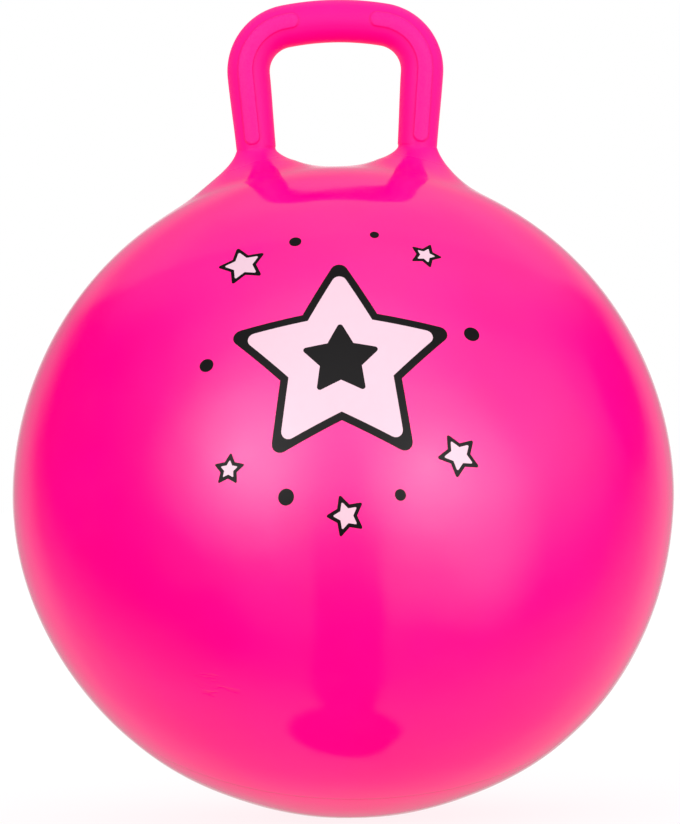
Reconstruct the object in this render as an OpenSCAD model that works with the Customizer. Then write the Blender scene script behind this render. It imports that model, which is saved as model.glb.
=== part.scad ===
// Hopper ball: a soft inflated ball with a moulded loop handle, a valve with its plug at the back, and
// a two-colour print on the upper front. The origin is the middle of the flat patch on which the ball
// rests, +Z is up, the print faces -Y, and the handle's loop lies in the X-Z plane.

/* [Ball] */
// Diameter of the inflated ball
ball_d = 450; // [400:5:600]
// Diameter of the flat patch on which the soft ball rests
contact_d = 68; // [40:1:90]
// Thickness of the ball's skin
skin_t = 0.9; // [0.7:0.1:2]

/* [Handle] */
// Outside diameter of the handle's tube
tube_d = 29.2; // [26:0.2:32]
// Wall of the handle's tube
tube_wall = 2; // [1.2:0.1:3]
// Width of the loop between the tube's centrelines, at its widest
loop_w = 119.2; // [108:0.2:130]
// Height of the bar's centreline above the top of the ball
loop_rise = 97.8; // [88:0.2:115]
// Radius of the bar's gentle arch, on the centreline
bar_arch_r = 190; // [130:1:240]
// Radius of the loop's upper corners, on the centreline
corner_r = 31.4; // [24:0.2:34]
// Lean of each leg towards the middle as it goes down, in degrees
leg_lean = 4.8; // [2:0.2:7]
// Diameter of the ring where a leg's flared foot runs out on the ball
foot_d = 94; // [76:1:98]
// Radius of the foot's flare
foot_flare_r = 55; // [40:1:62]

/* [Grip strips] */
// Width of a raised grip strip
strip_w = 9.7; // [7:0.1:12]
// Height of a strip above the tube
strip_h = 1; // [0.6:0.1:1.6]
// Distance of a strip outwards from the tube's centreline
strip_shift = 1.8; // [0:0.1:3]
// Bare length of the bar between the left and the right strip
strip_gap = 49; // [40:1:54]
// Height of a strip's lower tip above the ball, along the leg
strip_end_rise = 20.5; // [16:0.5:30]

/* [Valve] */
// Angle of the valve above the ball's widest level, at the back, in degrees
valve_elev = 35; // [10:1:50]
// Diameter of the seat's body, which fills the hole in the skin
seat_d = 18; // [17:0.5:21]
// Length of the seat's body inwards from the skin's outer face
seat_len = 17; // [14:0.5:20]
// Diameter of the seat's flange inside the skin
seat_flange_d = 32; // [28:1:40]
// Thickness of the seat's flange inside the skin
seat_flange_t = 1.6; // [1:0.1:2.5]
// Diameter of the seat's thin rim outside the skin
seat_rim_d = 25; // [23:0.5:27]
// Thickness of the seat's thin rim outside the skin
seat_rim_t = 0.8; // [0.5:0.1:1.2]
// Diameter of the plug's head
plug_head_d = 14; // [12:0.2:15]
// Thickness of the plug's head at its edge
plug_head_t = 1.8; // [1.4:0.1:2.4]
// Extra height of the head's dome at its middle
plug_dome_h = 0.5; // [0.2:0.1:0.8]
// Diameter of the plug's stem
plug_stem_d = 8; // [6:0.2:9]
// Length of the plug's stem below its head
plug_stem_len = 22; // [20:0.5:28]
// Diameter of the stem's blunt tip
plug_tip_d = 5.6; // [4:0.2:5.8]
// Length of the stem's tapered tip
plug_tip_len = 5; // [3:0.5:6]
// Number of grooves round the stem
groove_count = 3; // [1:1:4]
// Width of a groove, and of each land between two
groove_w = 1.6; // [1.2:0.1:1.8]
// Depth of a groove
groove_t = 0.5; // [0.3:0.1:0.7]
// Radial clearance between the stem and the seat's bore
stem_fit = 0.05; // [0.02:0.01:0.1]
// Clearance round and under the plug's head
head_fit = 0.2; // [0.1:0.05:0.3]

/* [Print] */
// Angle of the print's middle above the ball's widest level, at the front, in degrees
print_elev = 22; // [15:1:28]
// Thickness of the ink
ink_t = 0.2; // [0.15:0.05:0.3]
// Distance from the large star's middle to its tips
star_r = 78; // [60:1:82]
// Width of the large star's black outline
star_line = 5; // [3:0.5:7]
// Distance from the black star's middle to its tips, inside the large star
core_star_r = 27; // [15:1:30]
// Distance from the middle of the largest small star to its tips
spark_r = 17; // [12:0.5:20]
// Width of the small stars' black outlines
spark_line = 2.2; // [1.5:0.1:3]
// Diameter of the largest dot
dot_d = 10; // [6:0.5:12]

/* [Hidden] */
// Overrun of cuts past the faces that they leave
over = 1;
// Thickness of the foot's edge, where its flare runs out on the ball
foot_edge = 0.15;
// Where two stretches of the tube meet, one is drawn this much slimmer all round, and runs on by this
// angle, so that its end lies inside the other
run_in = 0.06;
run_in_angle = 2;

ball_r = ball_d / 2;
skin_in_r = ball_r - skin_t;
// Height of the ball's centre above the flat patch
centre_z = sqrt(ball_r ^ 2 - (contact_d / 2) ^ 2);
tube_r = tube_d / 2;
bore_r = tube_r - tube_wall;

// The loop's places in the X-Z plane, from the ball's centre
bar_top_z = ball_r + loop_rise;
arch_z = bar_top_z - bar_arch_r;
corner_x = loop_w / 2 - corner_r;
corner_z = arch_z + sqrt((bar_arch_r - corner_r) ^ 2 - corner_x ^ 2);
// Half of the angle that the arched bar spans
arch_half = asin(corner_x / (bar_arch_r - corner_r));
leg_top_x = corner_x + corner_r * cos(leg_lean);
leg_top_z = corner_z - corner_r * sin(leg_lean);
// Distance from the leg's top, along its centreline, to the ball's surface
leg_dot = leg_top_x * sin(leg_lean) + leg_top_z * cos(leg_lean);
leg_len = leg_dot - sqrt(leg_dot ^ 2 - leg_top_x ^ 2 - leg_top_z ^ 2 + ball_r ^ 2);
foot_x = leg_top_x - leg_len * sin(leg_lean);
// Angle of the foot's own axis from upright
foot_tilt = asin(foot_x / ball_r);
// Angle from the foot's axis to the ring where its flare runs out, and the middle of the flare's arc
foot_angle = asin(foot_d / 2 / ball_r);
flare_x = (ball_r + foot_flare_r) * sin(foot_angle);
flare_z = (ball_r + foot_flare_r) * cos(foot_angle) + foot_edge;
// The flare ends inside the leg, at this height above the ball as a share of the tube's radius
flare_top_share = 1.4;
flare_top_z = ball_r + tube_r * flare_top_share;
// Depth to which the leg reaches into the ball before the ball is cut away
leg_sink = tube_r;

strip_bar_r = bar_arch_r + strip_shift;
strip_corner_r = corner_r + strip_shift;
// Angle on the bar of the middle of a strip's round end
strip_start = asin((strip_gap + strip_w) / 2 / strip_bar_r);
strip_leg_len = leg_len - strip_end_rise - strip_w / 2;
// Half of the angle of the bar's bare middle stretch, as a share of the angle to the strips' ends
middle_share = 0.7;
middle_half = strip_start * middle_share;

head_z = ball_r + seat_rim_t - plug_head_t;
recess_z = head_z - head_fit;
plug_dome_r = ((plug_head_d / 2) ^ 2 + plug_dome_h ^ 2) / (2 * plug_dome_h);

// Tips and notches of every star, and the round of its tips, as shares of its size
notch_share = 0.52;
tip_round_share = 0.07;
star_tips = 5;
arc_steps = 6;
// The large star's middle in the print, right and up, as shares of its size
star_place_shares = [0, 0.04];
// Small stars: place right and up as shares of the large star's size, size as a share of the
// largest small star, and turn in degrees
spark_shares = [
    [-0.80, 1.04, 1.0, 12],
    [0.72, 1.10, 0.66, -20],
    [0.94, -0.72, 0.86, 30],
    [-0.92, -0.80, 0.62, -8],
    [0.02, -1.22, 0.78, 18],
];
// Dots: place right and up as shares of the large star's size, and size as a share of the largest
dot_shares = [
    [-0.36, 1.24, 0.8],
    [1.08, 0.34, 1.0],
    [-1.10, 0.10, 0.9],
    [0.46, -1.06, 0.7],
    [-0.46, -1.06, 1.0],
    [0.30, 1.30, 0.6],
];

ROUND_FN = 160;
FINE_FN = 64;
$fn = FINE_FN;

// Moves its children from the ball's centre to the ball's place
module at_centre() {
    translate([0, 0, centre_z]) children();
}

module big_sphere(r) {
    sphere(r = r, $fn = ROUND_FN);
}

// A ball of the given radius about the centre, cut flat at a height above the resting plane
module flat_ball(r, floor_z) {
    intersection() {
        at_centre() big_sphere(r);
        translate([-ball_d, -ball_d, floor_z]) cube([2 * ball_d, 2 * ball_d, 2 * ball_d]);
    }
}

// Lays a shape drawn round the Z axis, with angles from +X, into the X-Z plane
module stand_up() {
    rotate([90, 0, 0]) children();
}

// Part of a ring of the given section, in the X-Z plane: angles count from +X towards +Z
module ring_part(x, z, from, to) {
    translate([x, 0, z]) stand_up() rotate([0, 0, from]) rotate_extrude(angle = to - from, $fn = ROUND_FN)
        children();
}

// Moves its children to the top of the right leg, with -Z along the leg
module at_leg_top() {
    translate([leg_top_x, 0, leg_top_z]) rotate([0, leg_lean, 0]) children();
}

module both_sides() {
    children();
    mirror([1, 0, 0]) children();
}

// The bar's right end, from its bare middle to the corner
module bar_part(section_r) {
    ring_part(0, arch_z, 90 - arch_half, 90 - middle_half + run_in_angle)
        translate([section_r, 0]) children();
}

// The right corner, run on at both ends
module corner_part(section_r) {
    ring_part(corner_x, corner_z, -leg_lean - run_in_angle, 90 - arch_half + run_in_angle)
        translate([section_r, 0]) children();
}

// The right leg's tube, from the corner down into the ball
module leg_tube(r) {
    at_leg_top() translate([0, 0, -leg_len - leg_sink]) cylinder(r = r, h = leg_len + leg_sink);
}

// The loop's tube on the right, from the bar's bare middle down into the ball
module side_tube(r) {
    bar_part(bar_arch_r) circle(r = r);
    corner_part(corner_r) circle(r = r - run_in);
    leg_tube(r);
}

// The bar's bare middle, which takes in the ends of both sides
module bar_middle() {
    ring_part(0, arch_z, 90 - middle_half, 90 + middle_half) translate([bar_arch_r, 0]) difference() {
        circle(r = tube_r + run_in);
        circle(r = bore_r - run_in);
    }
}

// Flared foot of the right leg, about its own axis through the ball's centre
module foot() {
    rotate([0, foot_tilt, 0]) rotate_extrude($fn = ROUND_FN) difference() {
        translate([0, ball_r - leg_sink]) square([foot_d / 2, flare_top_z - ball_r + leg_sink]);
        translate([flare_x, flare_z]) circle(r = foot_flare_r, $fn = ROUND_FN);
    }
}

// Section of the block that cuts a strip of the given width out of a thicker tube
module strip_section(w) {
    square([w, 2 * tube_d], center = true);
}

// Round end of a strip, as a post through the tube from front to back
module strip_end() {
    rotate([90, 0, 0]) cylinder(r = strip_w / 2 + run_in, h = 2 * tube_d, center = true);
}

// The right strips at front and back, each lying from the bar round the corner and down the leg
module strips() {
    intersection() {
        bar_part(bar_arch_r) circle(r = tube_r + strip_h);
        union() {
            ring_part(0, arch_z, 90 - arch_half, 90 - strip_start) translate([strip_bar_r, 0])
                strip_section(strip_w);
            translate([strip_bar_r * sin(strip_start), 0, arch_z + strip_bar_r * cos(strip_start)])
                strip_end();
        }
    }
    intersection() {
        corner_part(corner_r) circle(r = tube_r + strip_h - run_in);
        corner_part(strip_corner_r) strip_section(strip_w - 2 * run_in);
    }
    intersection() {
        leg_tube(tube_r + strip_h);
        at_leg_top() translate([strip_shift, 0, -strip_leg_len]) {
            translate([-strip_w / 2, -tube_d, 0]) cube([strip_w, 2 * tube_d, strip_leg_len]);
            strip_end();
        }
    }
}

// Turns its children so that +Z runs out of the ball along the valve's axis, from the ball's centre
module along_valve() {
    at_centre() rotate([valve_elev - 90, 0, 0]) children();
}

// A shell between two radii about the centre, inside a round post along +Z
module dome_disc(in_r, out_r, d) {
    intersection() {
        difference() {
            big_sphere(out_r);
            big_sphere(in_r);
        }
        cylinder(d = d, h = ball_d);
    }
}

module ball_skin() {
    color("#ff1f8f") difference() {
        flat_ball(ball_r, 0);
        flat_ball(skin_in_r, skin_t);
        at_centre() both_sides() leg_tube(bore_r);
        along_valve() cylinder(d = seat_d, h = ball_d);
    }
}

module handle_loop() {
    color("#ff1f8f") at_centre() {
        both_sides() difference() {
            union() {
                side_tube(tube_r);
                foot();
                strips();
            }
            side_tube(bore_r);
            big_sphere(ball_r);
        }
        bar_middle();
    }
}

module valve_seat() {
    color("#f3c4da") along_valve() difference() {
        union() {
            intersection() {
                translate([0, 0, ball_r - seat_len]) cylinder(d = seat_d, h = 2 * seat_len);
                big_sphere(ball_r + seat_rim_t);
            }
            dome_disc(ball_r, ball_r + seat_rim_t, seat_rim_d);
            dome_disc(skin_in_r - seat_flange_t, skin_in_r, seat_flange_d);
        }
        cylinder(r = plug_stem_d / 2 + stem_fit, h = ball_d);
        translate([0, 0, recess_z]) cylinder(r = plug_head_d / 2 + head_fit, h = ball_d);
    }
}

module valve_plug() {
    color("#fbfbf8") along_valve() {
        intersection() {
            translate([0, 0, head_z]) cylinder(d = plug_head_d, h = plug_head_t + plug_dome_h);
            translate([0, 0, head_z + plug_head_t + plug_dome_h - plug_dome_r]) sphere(r = plug_dome_r);
        }
        translate([0, 0, head_z - plug_stem_len]) difference() {
            union() {
                translate([0, 0, plug_tip_len]) cylinder(d = plug_stem_d, h = plug_stem_len - plug_tip_len);
                cylinder(d1 = plug_tip_d, d2 = plug_stem_d, h = plug_tip_len);
            }
            for (i = [1 : groove_count]) translate([0, 0, plug_tip_len + (2 * i - 1) * groove_w])
                difference() {
                    cylinder(d = plug_stem_d + over, h = groove_w);
                    cylinder(d = plug_stem_d - 2 * groove_t, h = groove_w);
                }
        }
    }
}

// Outline of a star with rounded tips, tip up, as one ring of points
function star_points(r) = let (
        round_r = r * tip_round_share,
        notch_r = r * notch_share,
        step = 180 / star_tips,
        // Half of the angle at a tip, between its two edges
        half_tip = atan2(notch_r * sin(step), r - notch_r * cos(step)),
        round_x = r - round_r / sin(half_tip)
    ) [for (i = [0 : star_tips - 1], j = [0 : arc_steps + 1]) let (
        turn = 90 + 2 * step * i,
        a = (90 - half_tip) * (2 * j / arc_steps - 1)
    ) j <= arc_steps
        ? polar(turn, round_x + round_r * cos(a), round_r * sin(a))
        : polar(turn + step, notch_r, 0)];

// The point that lies along and across a direction
function polar(turn, along, across) = [
    along * cos(turn) - across * sin(turn),
    along * sin(turn) + across * cos(turn)
];

module star(r) {
    polygon(star_points(r));
}

// Distance from a star's middle to the lines of its edges, as a share of its size
function edge_share() = let (step = 180 / star_tips)
    notch_share * sin(step) / sqrt(1 + notch_share ^ 2 - 2 * notch_share * cos(step));

// A star inside another of the given size, drawn in by the width of a line
module inner_star(r, line) {
    star(r - line / edge_share());
}

// Places its children at each small star: they read $spark_r, and are turned
module at_sparks() {
    for (s = spark_shares) translate([s[0] * star_r, s[1] * star_r]) rotate(s[3])
        let ($spark_r = s[2] * spark_r) children();
}

module at_star() {
    translate(star_place_shares * star_r) children();
}

module black_plan() {
    at_star() {
        difference() {
            star(star_r);
            inner_star(star_r, star_line);
        }
        star(core_star_r);
    }
    at_sparks() difference() {
        star($spark_r);
        inner_star($spark_r, spark_line);
    }
    for (d = dot_shares) translate([d[0] * star_r, d[1] * star_r]) circle(d = d[2] * dot_d);
}

module pale_plan() {
    at_star() difference() {
        inner_star(star_r, star_line);
        star(core_star_r);
    }
    at_sparks() inner_star($spark_r, spark_line);
}

// A film of ink on the ball, over a plan seen along the print's axis
module ink() {
    at_centre() rotate([90 - print_elev, 0, 0]) intersection() {
        difference() {
            big_sphere(ball_r + ink_t);
            big_sphere(ball_r);
        }
        linear_extrude(height = ball_d) children();
    }
}

module print_pale() {
    color("#f8dae8") ink() pale_plan();
}

module print_black() {
    color("#0c0a0b") ink() black_plan();
}

ball_skin();
handle_loop();
valve_seat();
valve_plug();
print_pale();
print_black();
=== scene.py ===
"""Hopper ball: a soft ball with a moulded loop handle, a star print and a plug valve, on a fixed frame."""

import math

import bmesh
import bpy
from mathutils import Matrix, Vector


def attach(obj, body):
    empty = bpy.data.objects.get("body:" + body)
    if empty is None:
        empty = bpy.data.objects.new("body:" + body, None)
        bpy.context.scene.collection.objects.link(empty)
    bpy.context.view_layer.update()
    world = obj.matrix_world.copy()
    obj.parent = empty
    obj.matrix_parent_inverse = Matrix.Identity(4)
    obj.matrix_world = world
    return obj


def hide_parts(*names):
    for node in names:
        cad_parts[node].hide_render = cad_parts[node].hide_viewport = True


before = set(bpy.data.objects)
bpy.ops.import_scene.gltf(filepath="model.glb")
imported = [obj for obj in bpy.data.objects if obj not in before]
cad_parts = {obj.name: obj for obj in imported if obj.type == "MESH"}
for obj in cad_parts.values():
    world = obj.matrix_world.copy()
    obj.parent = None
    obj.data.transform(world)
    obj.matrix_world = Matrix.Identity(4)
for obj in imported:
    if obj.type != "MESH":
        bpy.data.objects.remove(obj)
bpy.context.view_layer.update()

bl_info = {
    "name": "Hopper ball",
    "version": (1, 0, 0),
    "blender": (4, 5, 0),
    "location": "View3D > Sidebar > Hopper ball",
    "description": "Builds a soft hopper ball with its handle, print and valve on a fixed frame",
    "category": "Object",
}

# The photograph's frame, in pixels, and the ball's middle in it
FRAME_WIDTH, FRAME_HEIGHT = 680, 824
BALL_MIDDLE = (343.2, 492.0)
BALL_PIXEL_RADIUS = 328.9
SENSOR_WIDTH = 36.0

MM = 0.001
SHARP_ANGLE = math.radians(50)
CUT_DISTANCE = 0.0001 * MM
MERGE_DISTANCE = 0.01 * MM


def length(name, description, default, low=0.0, high=1.0):
    """A size in metres."""
    return bpy.props.FloatProperty(
        name=name, description=description, default=default, min=low, max=high,
        unit="LENGTH", subtype="DISTANCE", precision=5,
    )


def angle(name, description, degrees, low=-180.0, high=180.0):
    """An angle, given in degrees."""
    return bpy.props.FloatProperty(
        name=name, description=description, default=math.radians(degrees),
        min=math.radians(low), max=math.radians(high), subtype="ANGLE",
    )


def share(name, description, default, low=0.0, high=1.0):
    """A number without a unit."""
    return bpy.props.FloatProperty(name=name, description=description, default=default, min=low, max=high)


def count(name, description, default, low, high):
    """A whole number."""
    return bpy.props.IntProperty(name=name, description=description, default=default, min=low, max=high)


def colour(name, description, red, green, blue):
    """A linear colour."""
    return bpy.props.FloatVectorProperty(
        name=name, description=description, default=(red, green, blue), size=3,
        min=0.0, max=1.0, subtype="COLOR",
    )


class BallSizes(bpy.types.PropertyGroup):
    """Sizes of the ball's skin."""

    diameter: length("Diameter", "Diameter of the inflated ball", 0.45)
    contact: length("Contact patch", "Diameter of the flat patch on which the ball rests", 0.068)
    skin: length("Skin", "Thickness of the skin", 0.0009)
    saddle_drop: length("Saddle drop", "Depth to which the skin sinks between the handle's legs", 0.0019)
    saddle_width: length("Saddle width", "Reach of the saddle from side to side", 0.034)
    saddle_depth: length("Saddle depth", "Reach of the saddle from front to back", 0.06)
    sag: length("Sag", "Height by which the skin round the contact patch is pressed up", 0.002)
    lean: length("Lean", "Distance by which the lower half leans to the right", 0.0038)
    belly: share("Belly", "Growth of the lower part's girth, as a share", 0.0055)
    dip: length("Dip", "Depth of the shallow dip before the saddle", 0.001)
    dip_place: length("Dip place", "Distance of the dip from the ball's middle plane", 0.096)
    dip_width: length("Dip width", "Reach of the dip from front to back", 0.018)
    blend: length("Blend", "Distance over which the ball's bend runs over into a foot's flare", 0.014)
    shoulder: length("Shoulder", "Height of the fuller outer side of the left foot", 0.003)
    shoulder_reach: length("Shoulder reach", "Reach of the fuller side", 0.02)
    fineness: count("Fineness", "Subdivisions of the skin's mesh", 7, 4, 7)


class HandleSizes(bpy.types.PropertyGroup):
    """Sizes of the handle's loop and of its grip strips."""

    tube: length("Tube", "Outside diameter of the handle's tube", 0.0292)
    wall: length("Wall", "Wall of the handle's tube", 0.002)
    width: length("Width", "Width of the loop between centrelines", 0.1192)
    rise: length("Rise", "Height of the bar's centreline above the ball", 0.0984)
    arch: length("Arch radius", "Radius of the bar's gentle arch", 0.19)
    corner: length("Corner radius", "Radius of the upper corners", 0.0314)
    lean: angle("Lean", "Lean of each leg towards the middle", 4.8, 0, 15)
    foot: length("Foot", "Diameter of the ring where a flared foot runs out on the ball", 0.094)
    flare: length("Flare", "Radius of the foot's flare", 0.055)
    strip_width: length("Strip width", "Width of a raised grip strip", 0.0097)
    strip_height: length("Strip height", "Height of a strip above the tube", 0.001)
    strip_shift: length("Strip shift", "Distance of a strip outwards from the centreline", 0.0018)
    strip_gap: length("Strip gap", "Bare length of the bar between the strips", 0.049)
    strip_end: length("Strip end", "Height of a strip's lower tip above the ball", 0.0205)
    strip_wall: length("Strip wall", "Width of the slope at a strip's edge", 0.0008)
    leg_slim: share("Leg slim", "Loss of a leg's thickness at its lower end, as a share", 0.07)


class ValveSizes(bpy.types.PropertyGroup):
    """Sizes of the valve's seat and of its plug."""

    elevation: angle("Elevation", "Angle of the valve above the ball's widest level", 35, 0, 90)
    seat: length("Seat", "Diameter of the seat's body", 0.018)
    seat_length: length("Seat length", "Length of the seat's body", 0.017)
    flange: length("Flange", "Diameter of the flange inside the skin", 0.032)
    flange_wall: length("Flange wall", "Thickness of the flange", 0.0016)
    rim: length("Rim", "Diameter of the thin rim outside the skin", 0.025)
    rim_wall: length("Rim wall", "Thickness of the rim", 0.0008)
    head: length("Head", "Diameter of the plug's head", 0.014)
    head_wall: length("Head wall", "Thickness of the head at its edge", 0.0018)
    dome: length("Dome", "Extra height of the head's middle", 0.0005)
    stem: length("Stem", "Diameter of the plug's stem", 0.008)
    stem_length: length("Stem length", "Length of the stem below the head", 0.022)
    tip: length("Tip", "Diameter of the stem's blunt tip", 0.0056)
    tip_length: length("Tip length", "Length of the tapered tip", 0.005)
    groove: length("Groove", "Width of a groove round the stem", 0.0016)
    groove_depth: length("Groove depth", "Depth of a groove", 0.0005)
    grooves: count("Grooves", "Grooves round the stem", 3, 1, 5)
    stem_fit: length("Stem fit", "Clearance round the stem", 0.00005)
    head_fit: length("Head fit", "Clearance round the head", 0.0002)
    edge: length("Edge", "Radius of the small parts' edges", 0.0003)


class PrintSizes(bpy.types.PropertyGroup):
    """Sizes of the star print."""

    elevation: angle("Elevation", "Angle of the print's middle above the ball's widest level", 22, 0, 90)
    ink: length("Ink", "Height of the ink above the skin", 0.0001)
    sunk: length("Sunk", "Depth to which the ink's underside lies in the skin", 0.00006)
    star: length("Star", "Distance from the large star's middle to its tips", 0.078)
    star_line: length("Star line", "Width of the large star's outline", 0.005)
    core: length("Core", "Distance from the black star's middle to its tips", 0.027)
    spark: length("Spark", "Distance from the largest small star's middle to its tips", 0.017)
    spark_line: length("Spark line", "Width of the small stars' outlines", 0.0022)
    dot: length("Dot", "Diameter of the largest dot", 0.01)
    notch: share("Notch", "Place of a star's notches, as a share of its size", 0.52)
    tip_round: share("Tip round", "Radius of a star's tips, as a share of its size", 0.07)


class Finishes(bpy.types.PropertyGroup):
    """Colours and gloss of the surfaces."""

    pink: colour("Pink", "Colour of the vinyl", 1.0, 0.0, 0.25)
    pink_deep: colour("Deep pink", "Colour of the vinyl where it is a little thicker", 0.99, 0.0, 0.23)
    # The shade tint is painted shade: it darkens the creases and the strips' edges, and draws the dark
    # hairline that is a painted reflection
    seam: colour("Seam", "Colour of the creases, the mould line and the strips' edges", 0.80, 0.0, 0.14)
    strip: colour("Grip strip", "Colour of the stippled grip strips", 1.0, 0.008, 0.255)
    ink_pale: colour("Pale ink", "Colour of the pale print", 0.71, 0.485, 0.58)
    ink_black: colour("Black ink", "Colour of the black print", 0.0024, 0.0015, 0.002)
    seat: colour("Seat", "Colour of the valve's seat", 0.80, 0.36, 0.52)
    plug: colour("Plug", "Colour of the plug", 0.76, 0.76, 0.74)
    gloss: share("Vinyl roughness", "Roughness of the vinyl", 0.075)
    grip_gloss: share("Handle roughness", "Roughness of the handle's satin vinyl", 0.36)
    shine: share("Shine", "Strength of the highlights on the skin and on the pale ink", 0.5)
    grip_shine: share("Handle shine", "Strength of the handle's highlights", 0.14)
    black_shine: share("Black shine", "Strength of the highlights on the black ink", 0.12)


class Studio(bpy.types.PropertyGroup):
    """Place of the camera."""

    distance: length("Distance", "Distance of the camera from the ball's middle", 2.75, 0.5, 20)
    height: angle("Height", "Angle of the camera above the ball's middle", 0.8, -20, 60)
    roll: angle("Roll", "Roll of the camera", 1.07, -20, 20)


class HopperBall(bpy.types.PropertyGroup):
    """All the sizes, the finishes and the camera's place."""

    ball: bpy.props.PointerProperty(type=BallSizes)
    handle: bpy.props.PointerProperty(type=HandleSizes)
    valve: bpy.props.PointerProperty(type=ValveSizes)
    star_print: bpy.props.PointerProperty(type=PrintSizes)
    finish: bpy.props.PointerProperty(type=Finishes)
    studio: bpy.props.PointerProperty(type=Studio)


def settings():
    return bpy.context.scene.hopper_ball


# Shapes

def new_object(name, bm, material):
    """A finished mesh as an object at the origin."""
    mesh = bpy.data.meshes.new(name)
    bm.to_mesh(mesh)
    bm.free()
    mesh.materials.append(material)
    made = bpy.data.objects.new(name, mesh)
    bpy.context.scene.collection.objects.link(made)
    return made


def new_piece(name, bm, body, material, node):
    """A smooth piece that rides on its body and stands for its node."""
    piece = new_object(name, bm, material)
    for face in piece.data.polygons:
        face.use_smooth = True
    piece.data.set_sharp_from_angle(angle=SHARP_ANGLE)
    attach(piece, body)
    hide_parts(node)


def add_wall(bm, thickness):
    """Gives an outer surface its wall, inwards."""
    bm.normal_update()
    bmesh.ops.solidify(bm, geom=bm.faces[:], thickness=thickness)
    return bm


def smoothstep(low, high, value):
    """Rises smoothly from 0 at low to 1 at high."""
    part = min(1.0, max(0.0, (value - low) / (high - low)))
    return part * part * (3 - 2 * part)


def fade(low, high, value):
    """Falls smoothly from 1 at low to 0 at high."""
    return 1 - smoothstep(low, high, value)


def whole(bm):
    """All the elements of a mesh."""
    return bm.verts[:] + bm.edges[:] + bm.faces[:]


def verts_in(geometry):
    """The vertices among an operator's results."""
    return [g for g in geometry if isinstance(g, bmesh.types.BMVert)]


def edges_among(verts):
    """The edges whose two ends are both among the vertices."""
    chosen = set(verts)
    return [e for e in {e for v in verts for e in v.link_edges} if set(e.verts) <= chosen]


# Where the skin's small forms set in and run out. Shares are of the radius, from the ball's middle or axis
LEG_FADE = (10 * MM, 24 * MM)  # heights above the skin, up a leg
TOP_SHARES = (0.3, 0.7)
DIP_FADE = (48 * MM, 85 * MM)  # distances to either side
SHOULDER_SHARES = (-0.38, 0, 0.925)
SAG_START = (8 * MM, 36 * MM)  # distances from the axis
SAG_END_SHARES = (0.32, 0.62)
SAG_DEPTH_SHARES = (0.2, 0.6)
LEAN_SHARES = (0.1, 0.85)
BELLY_START_SHARES = (-0.45, 0.05)
BELLY_END_SHARES = (0.65, 0.9)


class Plan:
    """Places worked out from the sizes, with heights from the ball's middle unless said otherwise."""

    def __init__(self):
        ball, handle = settings().ball, settings().handle
        self.radius = ball.diameter / 2
        self.middle = Vector((0, 0, math.sqrt(self.radius ** 2 - (ball.contact / 2) ** 2)))
        self.tube = handle.tube / 2
        self.arch = handle.arch
        self.corner = handle.corner
        self.bar_z = self.radius + handle.rise
        self.arch_z = self.bar_z - handle.arch
        corner_x = handle.width / 2 - handle.corner
        corner_z = self.arch_z + math.sqrt((handle.arch - handle.corner) ** 2 - corner_x ** 2)
        self.arch_half = math.asin(corner_x / (handle.arch - handle.corner))
        self.corner_swing = math.pi / 2 - self.arch_half + handle.lean
        self.arch_hub = Vector((0, 0, self.arch_z))
        self.corner_hub = Vector((corner_x, 0, corner_z))
        self.leg_up = Vector((math.sin(handle.lean), 0, math.cos(handle.lean)))
        self.leg_out = Vector((math.cos(handle.lean), 0, -math.sin(handle.lean)))
        self.leg_top = self.corner_hub + self.corner * self.leg_out
        reach = self.leg_top.dot(self.leg_up)
        self.leg_length = reach - math.sqrt(reach ** 2 - self.leg_top.length_squared + self.radius ** 2)
        self.foot_axis = (self.leg_top - self.leg_length * self.leg_up).normalized()
        self.foot_angle = math.asin(handle.foot / 2 / self.radius)
        self.flare = handle.flare
        self.flare_x = (self.radius + handle.flare) * math.sin(self.foot_angle)
        self.flare_z = (self.radius + handle.flare) * math.cos(self.foot_angle)
        self.strip_bar = handle.arch + handle.strip_shift
        self.strip_start = math.asin((handle.strip_gap + handle.strip_width) / 2 / self.strip_bar)
        self.strip_leg = self.leg_length - handle.strip_end - handle.strip_width / 2

    def settle(self, point):
        """Moves a point, given from the ball's middle, from the plain sphere to the skin's true shape."""
        return self.settle_bottom(self.settle_top(point) if point.z > 0 else point)

    def settle_top(self, point):
        """The saddle between the legs, its dip, the soft run into the feet and the fuller left foot."""
        ball = settings().ball
        near = fade(*LEG_FADE, point.length - self.radius) * smoothstep(*TOP_SHARES, point.z / self.radius)
        saddle = (point.x / ball.saddle_width) ** 2 + (point.y / ball.saddle_depth) ** 2
        dip = ((abs(point.y) - ball.dip_place) / ball.dip_width) ** 2
        drop = ball.saddle_drop * math.exp(-saddle)
        drop += ball.dip * math.exp(-dip) * fade(*DIP_FADE, abs(point.x))
        outward = point.normalized()
        turn = math.acos(min(1.0, abs(outward.x) * self.foot_axis.x + outward.z * self.foot_axis.z))
        past = min(ball.blend, max(-ball.blend, self.radius * (turn - self.foot_angle)))
        bend = 1 / self.flare + 1 / self.radius
        lift = bend * ((ball.blend - past) ** 3 / (12 * ball.blend) - min(0.0, past) ** 2 / 2)
        shoulder = (point - Vector(SHOULDER_SHARES) * self.radius).length / ball.shoulder_reach
        lift += ball.shoulder * math.exp(-shoulder ** 2)
        return point + near * (lift * outward - Vector((0, 0, drop)))

    def settle_bottom(self, point):
        """The sag over the contact patch, the lean to the right and the fuller girth of the lower part."""
        ball = settings().ball
        below = -point.z / self.radius
        off = math.hypot(point.x, point.y)
        lift = ball.sag * smoothstep(*SAG_START, off) * fade(*SAG_END_SHARES, off / self.radius)
        lift *= smoothstep(*SAG_DEPTH_SHARES, below)
        lean = ball.lean * smoothstep(*LEAN_SHARES, below)
        girth = 1 + ball.belly * smoothstep(*BELLY_START_SHARES, below) * fade(*BELLY_END_SHARES, below)
        return Vector((point.x * girth + lean, point.y * girth, point.z + lift))


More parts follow.
